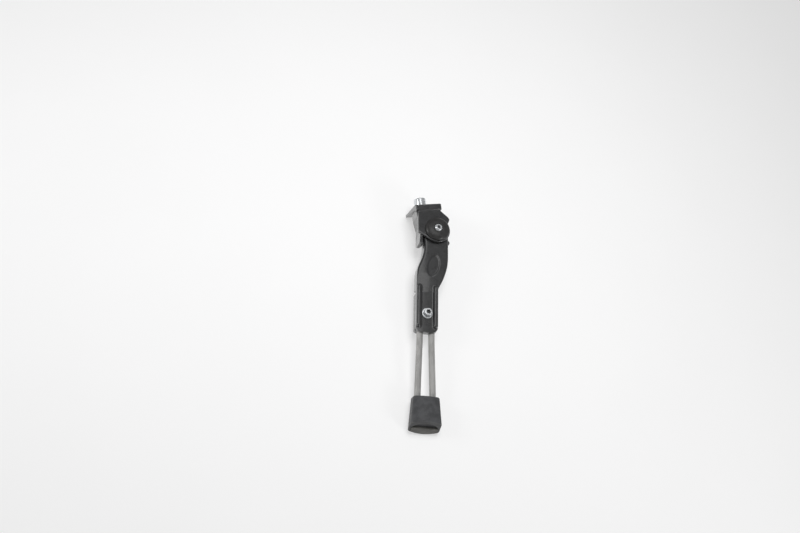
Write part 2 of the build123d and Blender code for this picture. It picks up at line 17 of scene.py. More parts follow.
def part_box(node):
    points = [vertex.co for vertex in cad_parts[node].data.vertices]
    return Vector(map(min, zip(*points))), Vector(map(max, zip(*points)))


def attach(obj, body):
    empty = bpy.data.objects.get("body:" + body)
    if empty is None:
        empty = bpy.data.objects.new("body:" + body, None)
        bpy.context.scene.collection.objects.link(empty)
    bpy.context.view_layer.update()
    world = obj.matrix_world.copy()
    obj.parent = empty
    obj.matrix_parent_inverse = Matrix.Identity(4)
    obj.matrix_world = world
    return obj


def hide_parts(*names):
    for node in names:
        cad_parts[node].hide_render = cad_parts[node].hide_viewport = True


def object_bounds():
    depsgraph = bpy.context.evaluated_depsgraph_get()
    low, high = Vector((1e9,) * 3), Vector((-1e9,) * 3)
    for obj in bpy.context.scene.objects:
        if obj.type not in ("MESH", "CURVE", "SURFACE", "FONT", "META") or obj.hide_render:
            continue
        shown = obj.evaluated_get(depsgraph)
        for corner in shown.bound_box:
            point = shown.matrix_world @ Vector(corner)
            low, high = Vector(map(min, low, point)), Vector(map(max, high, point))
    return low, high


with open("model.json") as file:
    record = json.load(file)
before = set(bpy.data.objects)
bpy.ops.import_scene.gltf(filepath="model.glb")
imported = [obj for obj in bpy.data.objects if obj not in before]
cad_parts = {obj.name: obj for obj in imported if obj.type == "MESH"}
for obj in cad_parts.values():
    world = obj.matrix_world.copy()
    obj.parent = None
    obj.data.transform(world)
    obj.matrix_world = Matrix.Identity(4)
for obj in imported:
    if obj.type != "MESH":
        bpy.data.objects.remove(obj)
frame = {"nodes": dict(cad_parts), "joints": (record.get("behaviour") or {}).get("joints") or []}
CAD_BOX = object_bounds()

bl_info = {
    "name": "Bicycle side stand",
    "version": (1, 0, 0),
    "blender": (4, 5, 0),
    "location": "3D View > Sidebar > Side stand",
    "description": "Builds the finished pieces of an adjustable bicycle side stand on its CAD frame",
    "category": "Add Mesh",
}

MM = 0.001

# ---------------------------------------------------------------- the leg's frame, from the joints
JOINTS = {joint["name"]: joint for joint in frame["joints"]}
PIVOT = Vector(JOINTS["leg_fold"]["pos_m"])
OUT = Vector(JOINTS["leg_fold"]["axis"]).normalized()
UP_LEG = -Vector(JOINTS["length_adjust"]["axis"]).normalized()
REAR = UP_LEG.cross(OUT).normalized()
CLAMP_JOINT = Vector(JOINTS["clamp_screw_turn"]["pos_m"])

# ---------------------------------------------------------------- sizes of the pieces (mm, deg)
LEAN, SPLAY = 11.6, 9.0  # how the platform's normal stands to the leg
WASHER, LOCK_WASHER = 2.0, 2.5
WASHER_HOLE, WASHER_R = 5.25, 10.5
BOLT_R, BOLT_CORE_R, BOLT_TIP, BOLT_PITCH = 4.93, 4.2, 20.0, 1.5
BOLT_POINT, BOLT_POINT_TAPER, BOLT_THREAD_START = 1.2, 0.9, 0.7  # measured from the bolt's tip
BOLT_HEAD_R, BOLT_HEAD, BOLT_SOCKET, BOLT_SOCKET_DEPTH = 8.0, 10.0, 4.0, 5.0
M6_R, M6_CORE_R, M6_PITCH, M6_POINT = 2.98, 2.5, 1.0, 0.6
M6_THREAD_SHARE = 0.7  # of the bolt's thread depth
CHEEK_OUT = 13.0
CAP_HOLE, CAP_R, CAP_RIM, CAP_TOP, CAP_WELL_R, CAP_SEAT = 3.3, 16.3, 2.2, 6.0, 5.9, 4.6
BUTTON_R, BUTTON_HEIGHT, BUTTON_SOCKET, BUTTON_SOCKET_DEPTH = 5.25, 3.3, 2.0, 2.0
PIVOT_SCREW_TIP, PIVOT_SCREW_TURNS, PIVOT_THREAD_START = -16.6, 12.0, 0.5
SCREW_HEAD_R, SCREW_HEAD, SCREW_SOCKET, SCREW_SOCKET_DEPTH = 5.0, 6.0, 2.5, 3.0
SCREW_TURNS, SCREW_HEAD_GAP, SCREW_TIP_GAP = 13.0, 0.15, 0.4
KNURL_LOW, KNURL_TOP_GAP, KNURL_GAP = 0.5, 0.9, 0.02
WEB, PLATE_BACK = 5.0, -10.7
CLAMP_WASHER_HOLE, CLAMP_WASHER_R, CLAMP_WASHER, CLAMP_SEAT = 3.2, 6.9, 1.4, 1.45
NUT_HOLE, NUT_HALF, NUT = 3.05, 5.0, 5.0
ROD_R, ROD_X, ROD_Z = 4.0, 7.6, -1.5
ROD_TOP, ROD_SPLAY, ROD_END, ROD_END_X = 88.0, 150.0, 248.0, 10.4
ROD_SPLAY_BEND, ROD_END_BEND = 60.0, 9.0
PLUNGER_TIP, PLUNGER_R, PLUNGER_LENGTH = 11.15, 3.5, 12.5
SPRING_START, SPRING_END, SPRING_R, SPRING_WIRE_R, SPRING_COILS = 24.25, 40.4, 2.7, 0.45, 7.0
TURNED_SEGMENTS, CAP_SEGMENTS, PLUNGER_SEGMENTS, NOSE_STEPS = 96, 144, 48, 12
BOLT_THREAD_STEPS, M6_THREAD_STEPS = 48, 40
SOCKET_SHARE = 0.9  # a turned corner more hexagonal than this lies in a screw's socket

# ---------------------------------------------------------------- mesh work
MERGE_GAP, SLIVER = 2e-6, 1e-6  # metres
FLAT_ANGLE, BEVEL_ANGLE = math.radians(0.6), math.radians(32)
EDGE_REACH = 6  # rings of vertices over which an edge is felt
EDGE_RISE = 0.00022  # metres that a sharp cast edge stands over its surroundings
FOOT_EASE = 4  # rounds of smoothing on the moulded rubber

# ---------------------------------------------------------------- lamps and bench (m, deg)
BENCH_HALF, BENCH_GAP = 4.0, 0.02 * MM
SIDE_LAMP_TURN, SIDE_LAMP_RISE, SIDE_LAMP_REACH, SIDE_LAMP = 72, 30, 1.1, 0.28
SIDE_LAMP_AIM = Vector((0.0, 0.08, 0.0))  # from the stand's middle towards its head
TOP_LAMP_X, TOP_LAMP_Y, TOP_LAMP_HEIGHT, TOP_LAMP = -0.01, 0.21, 0.95, 0.5
SHEEN_DROP = 0.02  # keeps the sheen lamp clear of the one above it


def turned_frame(origin, axis):
    """The matrix of a frame whose z runs along an axis and whose x keeps to the rear."""
    across = UP_LEG.cross(axis).normalized() if abs(axis.dot(UP_LEG)) < 0.9 else REAR
    side = axis.cross(across).normalized()
    across = side.cross(axis).normalized()
    basis = Matrix((across, side, axis)).transposed()
    return Matrix.Translation(origin) @ basis.to_4x4()


def leg_point(x, y, z):
    """A point of the leg's frame, in the row frame."""
    return PIVOT + (REAR * x + UP_LEG * y + OUT * z) * MM


LEG = Matrix.Translation(PIVOT) @ Matrix((REAR, UP_LEG, OUT)).transposed().to_4x4()
LEG_X, CLAMP_Y = [(CLAMP_JOINT - PIVOT).dot(axis) / MM for axis in (REAR, UP_LEG)]


def screw_frame(height):
    """The clamp screw's frame, at a height over the pivot's middle plane."""
    return turned_frame(leg_point(LEG_X, CLAMP_Y, height), OUT)


def bolt_frame():
    """The mounting bolt's frame, with its origin on the platform's top face."""
    lean, splay = math.radians(LEAN), math.radians(SPLAY)
    axis = (
        -REAR * math.sin(lean) * math.cos(splay)
        + UP_LEG * math.cos(lean) * math.cos(splay)
        + OUT * math.sin(splay)
    )
    low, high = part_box("mounting_washer")
    return turned_frame((low + high) / 2 - axis * (WASHER / 2 * MM), axis)


# ---------------------------------------------------------------- sizes and colours a user sets
def amount(name, description, default, **kind):
    """A number property."""
    return FloatProperty(name=name, description=description, default=default, **kind)


def length(name, description, default):
    """A length property, in metres."""
    return amount(name, description, default, min=0.0, precision=5, subtype="DISTANCE", unit="LENGTH")


def colour(name, description, default):
    """A colour property."""
    shade = {"default": (*default, 1.0), "size": 4, "min": 0.0, "max": 1.0, "subtype": "COLOR"}
    return FloatVectorProperty(name=name, description=description, **shade)


def angle(name, description, degrees):
    """An angle property."""
    return amount(name, description, math.radians(degrees), subtype="ANGLE")


class SideStandSizes(bpy.types.PropertyGroup):
    """Sizes of the surface work on the stand's pieces."""

    casting_cell: length("Casting cell", "Mesh cell of the cast pieces", 0.00038)
    rubber_cell: length("Rubber cell", "Mesh cell of the moulded foot", 0.00042)
    sole_cell: length("Sole cell", "Mesh cell of the sole pad", 0.0003)
    casting_ease: IntProperty(
        name="Casting ease",
        description="Rounds of smoothing that soften cast edges",
        default=7,
        min=0,
        max=40,
    )
    edge_break: length("Edge break", "Width of the bevel on cut steel pieces", 0.00015)
    thread_depth: length("Thread depth", "Half the depth of the screw threads' section", 0.0006)
    knurl_count: IntProperty(
        name="Knurl ridges",
        description="Ridges round the clamp screw's head",
        default=54,
        min=12,
        max=120,
    )
    knurl_depth: length("Knurl depth", "How far the ridges stand out of the head", 0.00014)


class SideStandColours(bpy.types.PropertyGroup):
    """Colours of the stand's finishes."""

    paint: colour("Black paint", "Paint on the castings", (0.017, 0.0172, 0.018))
    bare: colour("Bare casting", "Metal under worn paint", (0.30, 0.30, 0.30))
    cap: colour("Pivot cap", "Coating of the pivot cap", (0.026, 0.0255, 0.025))
    zinc: colour("Zinc plate", "Plating of the screws and washers", (0.80, 0.82, 0.84))
    rod: colour("Drawn steel", "Steel of the rod loop", (0.46, 0.456, 0.445))
    rubber: colour("Foot rubber", "Rubber of the foot", (0.055, 0.056, 0.059))
    scuffed: colour("Scuffed rubber", "Rubber where the foot is rubbed", (0.17, 0.168, 0.16))
    sole: colour("Sole rubber", "Rubber of the sole pad", (0.11, 0.108, 0.10))
    spring: colour("Spring steel", "Steel of the spring and the foot pin", (0.36, 0.36, 0.37))
    cam: colour("Hard steel", "Steel of the cam and the plunger", (0.30, 0.29, 0.28))
    bronze: colour("Bronze", "Pivot bushes", (0.50, 0.33, 0.16))
    nylon: colour("Nylon", "Thrust washers", (0.70, 0.68, 0.62))
    floor: colour("Floor", "Bench under the stand", (0.42, 0.421, 0.423))


class SideStandStage(bpy.types.PropertyGroup):
    """Camera and light."""

    azimuth: angle("Camera azimuth", "Turn of the camera round the stand", -23.203)
    elevation: angle("Camera elevation", "Height of the camera over the bench", 59.589)
    roll: angle("Camera roll", "Turn of the camera about its line of sight", 26.892)
    distance: length("Camera distance", "From the camera to the point it looks at", 1.05045)
    aim_x: amount("Aim X", "Point looked at, on the bench", -0.03499, unit="LENGTH")
    aim_y: amount("Aim Y", "Point looked at, on the bench", 0.06461, unit="LENGTH")
    lens: amount("Lens", "Focal length", 36.0, subtype="DISTANCE_CAMERA")
    tent: amount("Tent light", "Strength of the white surround", 0.22, min=0.0)
    sheen: amount("Sheen", "Share of the overhead light that gloss reflects", 0.11, min=0.0, max=1.0)
    bench_glow: amount("Bench glow", "Light from under the bench", 0.50, min=0.0)
    lamp_power: amount("Lamp power", "Power of each side lamp", 2.1, unit="POWER")
    top_power: amount("Top power", "Power of the lamps overhead", 7.5, unit="POWER")


# ---------------------------------------------------------------- node trees
class Value:
    """A socket of a node tree. Arithmetic on it adds Math nodes."""

    def __init__(self, graph, socket):
        self.graph = graph
        self.socket = socket

    def _math(self, operation, first, second=0.0):
        return self.graph.node("ShaderNodeMath", {"operation": operation}, {0: first, 1: second})

    def __add__(self, other):
        return self._math("ADD", self, other)

    def __radd__(self, other):
        return self._math("ADD", other, self)

    def __sub__(self, other):
        return self._math("SUBTRACT", self, other)

    def __rsub__(self, other):
        return self._math("SUBTRACT", other, self)

    def __mul__(self, other):
        return self._math("MULTIPLY", self, other)

    def __rmul__(self, other):
        return self._math("MULTIPLY", other, self)

    def __truediv__(self, other):
        return self._math("DIVIDE", self, other)

    def __rtruediv__(self, other):
        return self._math("DIVIDE", other, self)

    def between(self, low, high):
        """The value eased from 0 at low to 1 at high."""
        return self.graph.node(
            "ShaderNodeMapRange",
            {"interpolation_type": "SMOOTHSTEP"},
            {"Value": self, "From Min": low, "From Max": high},
        )


class Graph:
    """A node tree that is filled from Python."""

    def __init__(self, tree):
        self.tree = tree

    def node(self, kind, settings=None, values=None, output=0):
        """A node of a type, its settings set first and then its sockets; gives one of its outputs."""
        made = self.tree.nodes.new(kind)
        for key, setting in (settings or {}).items():
            setattr(made, key, setting)
        for key, value in (values or {}).items():
            if isinstance(value, Value):
                self.tree.links.new(value.socket, made.inputs[key])
            else:
                made.inputs[key].default_value = value
        return Value(self, made.outputs[output]) if made.outputs else made


class Finish(Graph):
    """A material under construction, on object coordinates."""

    def __init__(self, name):
        self.material = bpy.data.materials.new(name)
        self.material.use_nodes = True
        super().__init__(self.material.node_tree)
        self.tree.nodes.clear()

    def spot(self, place=None, stretch=(1.0, 1.0, 1.0)):
        """Object coordinates, measured in a frame and stretched along its axes."""
        place = place or Matrix.Identity(4)
        values = {
            "Vector": self.node("ShaderNodeTexCoord", output="Object"),
            "Location": place.to_translation(),
            "Rotation": place.to_euler(),
            "Scale": stretch,
        }
        return self.node("ShaderNodeMapping", {"vector_type": "TEXTURE"}, values)

    def grain(self, size, detail=2.0, roughness=0.55, place=None, stretch=(1.0, 1.0, 1.0)):
        """Noise whose features are about size mm across."""
        values = {
            "Vector": self.spot(place, stretch),
            "Scale": 1.0 / (size * MM),
            "Detail": detail,
            "Roughness": roughness,
        }
        return self.node("ShaderNodeTexNoise", {"noise_dimensions": "3D"}, values)

    def cells(self, size):
        """Distance to the nearest of scattered points about size mm apart, in cell sizes."""
        values = {"Vector": self.spot(), "Scale": 1.0 / (size * MM)}
        return self.node("ShaderNodeTexVoronoi", {"feature": "F1"}, values)

    def tool_lines(self, place, size):
        """Fine lines round an axis, as a lathe leaves them."""
        spot = self.spot(place)
        level = (1.0, 1.0, 0.0)
        flat = self.node("ShaderNodeVectorMath", {"operation": "MULTIPLY"}, {0: spot, 1: level})
        reach = self.node("ShaderNodeVectorMath", {"operation": "LENGTH"}, {0: flat}, "Value")
        height = self.node("ShaderNodeSeparateXYZ", {}, {0: spot}, "Z")
        line = self.node("ShaderNodeCombineXYZ", {}, {"X": reach, "Z": height})
        values = {"Vector": line, "Scale": 1.0 / (size * MM), "Detail": 2.0}
        return self.node("ShaderNodeTexNoise", {}, values)

    def marked(self, mark):
        """A mark kept on the mesh, from 0 to 1, such as its outer edges, which wear and on the paint get
        a painted highlight, or its socket recesses, which get painted shade.
        """
        return self.node("ShaderNodeAttribute", {"attribute_name": mark}, {}, "Fac")

    def mix(self, factor, first, second):
        """One colour fading into another."""
        return self.node("ShaderNodeMix", {"data_type": "RGBA"}, {0: factor, 6: first, 7: second}, 2)

    def bump(self, height, depth, strength=1.0, under=None):
        """A normal pushed by a height, at a depth in mm."""
        values = {"Height": height, "Distance": depth * MM, "Strength": strength}
        if under is not None:
            values["Normal"] = under
        return self.node("ShaderNodeBump", {}, values)

    def close(self, **sockets):
        """Ends the material in one shader and gives it back."""
        labels = {key: key.replace("_", " ").title().replace("Ior", "IOR") for key in sockets}
        named = {labels[key]: value for key, value in sockets.items()}
        shader = self.node("ShaderNodeBsdfPrincipled", {}, named)
        self.node("ShaderNodeOutputMaterial", {}, {"Surface": shader})
        return self.material


def tinted(colour_value, factor):
    """A colour made lighter or darker."""
    return (*[channel * factor for channel in colour_value[:3]], 1.0)


def black_paint(name, base, bare, gloss):
    """Stoved black paint over a casting: orange peel, dust, worn edges, and a painted highlight along the
    convex edges.
    """
    finish = Finish(name)
    broad = finish.grain(9.0, detail=3.0)
    peel = finish.grain(0.9, detail=1.5, roughness=0.4)
    pores = finish.grain(0.22, detail=1.0)
    dust = finish.cells(1.7).between(0.06, 0.02) * finish.grain(6.0).between(0.5, 0.62)
    rubbed = (finish.marked("edge") + 0.35 * (finish.grain(1.6, detail=4.0) - 0.5)).between(0.42, 0.85)
    shade = finish.mix(broad.between(0.35, 0.68), tinted(base, 0.82), tinted(base, 1.22))
    # Painted highlight: the paint colour is lightened along every convex edge.
    shade = finish.mix(0.55 * finish.marked("edge").between(0.15, 0.7), shade, tinted(base, 1.9))
    shade = finish.mix(0.5 * rubbed, shade, bare)
    shade = finish.mix(0.35 * dust, shade, tinted(bare, 1.1))
    dull = gloss + 0.12 * (broad - 0.5) + 0.08 * (pores - 0.5) + 0.14 * dust
    normal = finish.bump(peel, 0.016, 0.7)
    normal = finish.bump(pores, 0.004, 0.5, normal)
    return finish.close(
        base_color=shade,
        roughness=dull,
        normal=normal,
        coat_weight=1.0,
        coat_roughness=0.06,
        coat_ior=1.65,
    )


def cap_coating(name, base, bare):
    """Smooth black coating on the turned cap, with faint lathe lines under it."""
    finish = Finish(name)
    place = turned_frame(leg_point(0.0, 0.0, CHEEK_OUT), OUT)
    lines = finish.tool_lines(place, 0.16)
    broad = finish.grain(5.0, detail=3.0)
    scratches = finish.grain(0.5, detail=3.0, place=LEG, stretch=(6.0, 0.7, 1.0)).between(0.70, 0.78)
    shade = finish.mix(broad.between(0.35, 0.65), tinted(base, 0.85), tinted(base, 1.2))
    shade = finish.mix(0.25 * scratches, shade, bare)
    shade = finish.mix(0.35 * finish.marked("edge").between(0.2, 0.8), shade, tinted(bare, 0.8))
    dull = 0.30 + 0.12 * (broad - 0.5) + 0.10 * (lines - 0.5) + 0.12 * scratches
    normal = finish.bump(lines, 0.004, 0.5)
    normal = finish.bump(finish.grain(0.8, detail=1.0), 0.012, 0.6, normal)
    return finish.close(base_color=shade, roughness=dull, normal=normal)


def zinc_plate(name, base, place):
    """Bright zinc on turned steel: lathe lines round the axis, faint clouding, handling marks, and
    painted shade in the screw sockets.
    """
    finish = Finish(name)
    lines = finish.tool_lines(place, 0.14)
    cloud = finish.grain(3.2, detail=4.0)
    marks = finish.grain(0.6, detail=3.0, place=place, stretch=(0.5, 5.0, 5.0)).between(0.66, 0.74)
    shade = finish.mix(cloud.between(0.38, 0.66), tinted(base, 0.80), tinted(base, 1.04))
    shade = finish.mix(0.4 * marks, shade, tinted(base, 0.55))
    # Painted shade: the zinc is darkened almost to black inside the screw sockets.
    socket_shade = finish.marked("recess").between(0.3, 0.9)
    shade = finish.mix(0.9 * socket_shade, shade, tinted(base, 0.09))
    dull = 0.20 + 0.14 * (cloud - 0.4) + 0.12 * (lines - 0.5) + 0.12 * marks + 0.35 * socket_shade
    normal = finish.bump(lines, 0.004, 0.7)
    normal = finish.bump(cloud, 0.02, 0.3, normal)
    return finish.close(base_color=shade, metallic=0.72, roughness=dull, normal=normal)


def drawn_steel(name, base):
    """Drawn rod: lines along its length, dull patches, and short rubs from the clamp."""
    finish = Finish(name)
    lines = finish.grain(0.30, detail=3.0, place=LEG, stretch=(1.0, 90.0, 1.0))
    broad = finish.grain(7.0, detail=4.0, place=LEG, stretch=(1.0, 2.5, 1.0))
    rubs = finish.grain(0.8, detail=3.0, place=LEG, stretch=(1.0, 9.0, 1.0)).between(0.64, 0.74)
    pits = finish.cells(2.4).between(0.07, 0.03)
    shade = finish.mix(broad.between(0.35, 0.66), tinted(base, 0.86), tinted(base, 1.12))
    shade = finish.mix(0.35 * lines.between(0.35, 0.7), shade, tinted(base, 0.72))
    shade = finish.mix(0.35 * (rubs + pits).between(0.0, 1.0), shade, tinted(base, 0.6))
    dull = 0.58 + 0.12 * (broad - 0.5) + 0.16 * (lines - 0.5) + 0.08 * rubs
    normal = finish.bump(lines, 0.010, 0.8)
    normal = finish.bump(pits, 0.010, 0.5, normal)
    return finish.close(base_color=shade, metallic=0.55, roughness=dull, normal=normal)


def moulded_rubber(name, base, scuffed, wear, dullness):
    """Moulded rubber: fine pebble from the tool, scuffed edges, and pale dust."""
    finish = Finish(name)
    pebble = finish.cells(0.55)
    fine = finish.grain(0.18, detail=2.0)
    broad = finish.grain(8.0, detail=4.0)
    scuff = (finish.marked("edge") + 0.5 * (finish.grain(1.2, detail=5.0) - 0.5)).between(0.25, 0.8)
    dust = finish.grain(2.4, detail=6.0, roughness=0.7).between(0.55, 0.75)
    shade = finish.mix(broad.between(0.35, 0.66), tinted(base, 0.84), tinted(base, 1.2))
    shade = finish.mix(wear * scuff, shade, scuffed)
    shade = finish.mix(0.16 * dust, shade, tinted(scuffed, 1.3))
    dull = dullness + 0.10 * (broad - 0.5) + 0.14 * scuff + 0.08 * (fine - 0.5)
    normal = finish.bump(pebble, 0.030, 0.45)
    normal = finish.bump(fine, 0.010, 0.6, normal)
    return finish.close(base_color=shade, roughness=dull, normal=normal)


def cut_metal(name, base, dullness):
    """Plain machined metal of the hidden pieces."""
    finish = Finish(name)
    lines = finish.grain(0.35, detail=3.0, place=LEG, stretch=(8.0, 1.0, 1.0))
    cloud = finish.grain(2.0, detail=4.0)
    shade = finish.mix(cloud.between(0.35, 0.65), tinted(base, 0.8), tinted(base, 1.15))
    dull = dullness + 0.12 * (cloud - 0.5) + 0.12 * (lines - 0.5)
    normal = finish.bump(lines, 0.006, 0.6)
    return finish.close(base_color=shade, metallic=1.0, roughness=dull, normal=normal)


def plain_nylon(name, base):
    """Natural nylon of the thrust washers."""
    finish = Finish(name)
    cloud = finish.grain(1.8, detail=3.0)
    shade = finish.mix(cloud.between(0.35, 0.65), tinted(base, 0.85), base)
    normal = finish.bump(finish.grain(0.25), 0.008, 0.6)
    return finish.close(base_color=shade, roughness=0.42 + 0.1 * (cloud - 0.5), normal=normal)


def bench_top(name, base):
    """The pale bench."""
    finish = Finish(name)
    cloud = finish.grain(160.0, detail=2.0)
    shade = finish.mix(cloud.between(0.3, 0.7), tinted(base, 0.985), base)
    normal = finish.bump(finish.grain(0.6, detail=2.0), 0.004, 0.4)
    return finish.close(
        base_color=shade,
        roughness=0.75 + 0.05 * (cloud - 0.5),
        normal=normal,
        emission_color=(1.0, 0.998, 0.995, 1.0),
        emission_strength=bpy.context.scene.side_stand_stage.bench_glow,
    )


def finish_named(name):
    """The material of a finish, built when it is first asked for."""
    kept = bpy.data.materials.get(name)
    if kept is not None:
        return kept
    tones = bpy.context.scene.side_stand_colours
    pivot = turned_frame(leg_point(0.0, 0.0, CHEEK_OUT), OUT)
    makers = {
        "stand_black_paint": lambda: black_paint(name, tones.paint, tones.bare, 0.30),
        "stand_cap_coating": lambda: cap_coating(name, tones.cap, tones.bare),
        "stand_zinc_bolt": lambda: zinc_plate(name, tones.zinc, bolt_frame()),
        "stand_zinc_pivot": lambda: zinc_plate(name, tones.zinc, pivot),
        "stand_zinc_clamp": lambda: zinc_plate(name, tones.zinc, screw_frame(WEB)),
        "stand_drawn_steel": lambda: drawn_steel(name, tones.rod),
        "stand_foot_rubber": lambda: moulded_rubber(name, tones.rubber, tones.scuffed, 0.55, 0.50),
        "stand_sole_rubber": lambda: moulded_rubber(name, tones.sole, tones.scuffed, 0.7, 0.62),
        "stand_spring_steel": lambda: cut_metal(name, tones.spring, 0.34),
        "stand_hard_steel": lambda: cut_metal(name, tones.cam, 0.30),
        "stand_bronze": lambda: cut_metal(name, tones.bronze, 0.38),
        "stand_nylon": lambda: plain_nylon(name, tones.nylon),
        "stand_bench_top": lambda: bench_top(name, tones.floor),
    }
    return makers[name]()


# ---------------------------------------------------------------- meshes
def new_piece(name, mesh, finish):
    """A mesh as a piece of the stand, at the origin."""
    mesh.name = name
    mesh.materials.clear()
    mesh.materials.append(finish_named(finish))
    piece = bpy.data.objects.new(name, mesh)
    bpy.context.scene.collection.objects.link(piece)
    return piece


def fit_out(piece, body, slot, *nodes):
    """Hands a piece to the frame: what it rides on, and the CAD nodes it stands for, which are hidden.
    The slot argument is not used.
    """
    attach(piece, body)
    if nodes:
        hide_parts(*nodes)
    return piece


def merged_copy(node):
    """A CAD node's solid as a new mesh with its loose triangles joined."""
    shell = bmesh.new()
    shell.from_mesh(frame["nodes"][node].data)
    bmesh.ops.remove_doubles(shell, verts=shell.verts, dist=MERGE_GAP)
    bmesh.ops.dissolve_degenerate(shell, dist=SLIVER, edges=shell.edges)
    corners = [vert.co.copy() for vert in shell.verts]
    shell.verts.index_update()
    faces = [[vert.index for vert in face.verts] for face in shell.faces]
    shell.free()
    mesh = bpy.data.meshes.new(node)
    mesh.from_pydata(corners, [], faces)
    return mesh


def settled(carrier):
    """The evaluated mesh of an object with live modifiers; the object is removed."""
    bpy.context.view_layer.update()
    graph = bpy.context.evaluated_depsgraph_get()
    mesh = bpy.data.meshes.new_from_object(carrier.evaluated_get(graph))
    bpy.data.objects.remove(carrier)
    return mesh


def carrier_of(data):
    """A throwaway object that holds modifiers."""
    carrier = bpy.data.objects.new("carrier", data)
    bpy.context.scene.collection.objects.link(carrier)
    return carrier


def eased_mesh(mesh, rounds):
    """Relaxes a dense mesh, and marks how far each vertex stands on an outer edge."""
    count = len(mesh.vertices)
    points = np.empty(count * 3)
    mesh.vertices.foreach_get("co", points)
    points = points.reshape(-1, 3)
    pairs = np.empty(len(mesh.edges) * 2, dtype=np.int64)
    mesh.edges.foreach_get("vertices", pairs)
    pairs = pairs.reshape(-1, 2)
    degree = np.bincount(pairs.ravel(), minlength=count).astype(float)[:, None]

    def neighbours(values):
        """The mean of each vertex's neighbours."""
        total = np.zeros_like(values)
        np.add.at(total, pairs[:, 0], values[pairs[:, 1]])
        np.add.at(total, pairs[:, 1], values[pairs[:, 0]])
        return total / degree

    for _ in range(rounds):
        points += 0.5 * (neighbours(points) - points)
    mesh.vertices.foreach_set("co", points.ravel())
    mesh.update()
    normals = np.empty(count * 3)
    mesh.vertices.foreach_get("normal", normals)
    normals = normals.reshape(-1, 3)
    spread = points
    for _ in range(EDGE_REACH):
        spread = neighbours(spread)
    rise = np.einsum("ij,ij->i", points - spread, normals)[:, None]
    for _ in range(2):
        rise = neighbours(rise)
    edge = np.clip(rise.ravel() / EDGE_RISE, 0.0, 1.0)
    mesh.attributes.new("edge", "FLOAT", "POINT").data.foreach_set("value", edge)
    mesh.shade_smooth()
    return mesh


def cast_piece(name, node, cell, rounds, finish):
    """A CAD solid remeshed and relaxed, so that its edges are as soft as a casting's."""
    carrier = carrier_of(merged_copy(node))
    remesh = carrier.modifiers.new("cells", "REMESH")
    remesh.mode = "VOXEL"
    remesh.voxel_size = cell
    mesh = eased_mesh(settled(carrier), rounds)
    return new_piece(name, mesh, finish)


def cut_piece(name, node, width, finish):
    """A CAD solid with a small bevel on its edges, as cut metal has."""
    mesh = merged_copy(node)
    shell = bmesh.new()
    shell.from_mesh(mesh)
    bmesh.ops.dissolve_limit(shell, angle_limit=FLAT_ANGLE, verts=shell.verts, edges=shell.edges)
    bmesh.ops.recalc_face_normals(shell, faces=shell.faces)
    shell.to_mesh(mesh)
    shell.free()
    mesh.shade_smooth()
    piece = new_piece(name, mesh, finish)
    bevel = piece.modifiers.new("edge break", "BEVEL")
    bevel.width = width
    bevel.segments = 2
    bevel.limit_method = "ANGLE"
    bevel.angle_limit = BEVEL_ANGLE
    bevel.harden_normals = True
    return piece


def eased(outline, closed):
    """A turned outline with its corners rounded; each corner is (radius, height, hexagon, rounding)."""
    smooth = []
    count = len(outline)
    for index, corner in enumerate(outline):
        ends = index in (0, count - 1) and not closed
        rounding = corner[3] if len(corner) > 3 else 0.0
        here = Vector(corner[:3])
        if ends or rounding <= 0.0:
            smooth.append(tuple(here))
            continue
        before = Vector(outline[index - 1][:3])
        after = Vector(outline[(index + 1) % count][:3])
        start, end = [
            here + (other - here) * min(0.48, rounding / max((other - here).xy.length, 1e-6))
            for other in (before, after)
        ]
        for share in (0.0, 0.25, 0.5, 0.75, 1.0):
            smooth.append(tuple(start.lerp(here, share).lerp(here.lerp(end, share), share)))
    return smooth


def turned_mesh(outline, place, closed=False, segments=TURNED_SEGMENTS):
    """A turned solid in a frame. A hexagon share of 1 turns a radius into half the width across flats.

    Corners in a screw's socket are marked as a recess.
    """
    shell = bmesh.new()
    rings = []
    recess = shell.verts.layers.float.new("recess")
    for radius, height, hexagon in eased(outline, closed):
        if radius == 0.0:
            centre = shell.verts.new(place @ Vector((0.0, 0.0, height * MM)))
            centre[recess] = float(hexagon)
            rings.append([centre])
            continue
        ring = []
        for step in range(segments):
            turn = math.tau * step / segments
            flat = 1.0 / math.cos(turn % (math.pi / 3) - math.pi / 6)
            reach = radius * (1.0 + hexagon * (flat - 1.0)) * MM
            spot = Vector((reach * math.cos(turn), reach * math.sin(turn), height * MM))
            vert = shell.verts.new(place @ spot)
            vert[recess] = float(hexagon > SOCKET_SHARE and not closed)
            ring.append(vert)
        rings.append(ring)
    for lower, upper in zip(rings, rings[1:] + rings[:1] if closed else rings[1:]):
        for step in range(segments):
            after = (step + 1) % segments
            if len(lower) == 1:
                shell.faces.new((lower[0], upper[step], upper[after]))
            elif len(upper) == 1:
                shell.faces.new((lower[step], lower[after], upper[0]))
            else:
                shell.faces.new((lower[step], lower[after], upper[after], upper[step]))
    bmesh.ops.recalc_face_normals(shell, faces=shell.faces)
    mesh = bpy.data.meshes.new("turned")
    shell.to_mesh(mesh)
    shell.free()
    mesh.shade_smooth()
    return mesh


# ---------------------------------------------------------------- turned outlines
def ring_outline(hole, radius, height, inner, lower, upper, hexagon=0.0):
    """The section of a ring, with the roundings of its hole and of its lower and upper outer edge."""
    return [
        (hole, 0.0, 0.0, inner),
        (radius, 0.0, hexagon, lower),
        (radius, height, hexagon, upper),
        (hole, height, 0.0, inner),
    ]


def m6_socket(half, top, depth, cone):
    """The hexagon socket of an M6 head, from the point of its drilled floor to its chamfered mouth."""
    return [
        (0.0, top - depth - cone, 1.0),
        (half, top - depth, 1.0, 0.1),
        (half, top - 0.15, 1.0, 0.1),
        (half + 0.3, top, 0.5, 0.15),
    ]


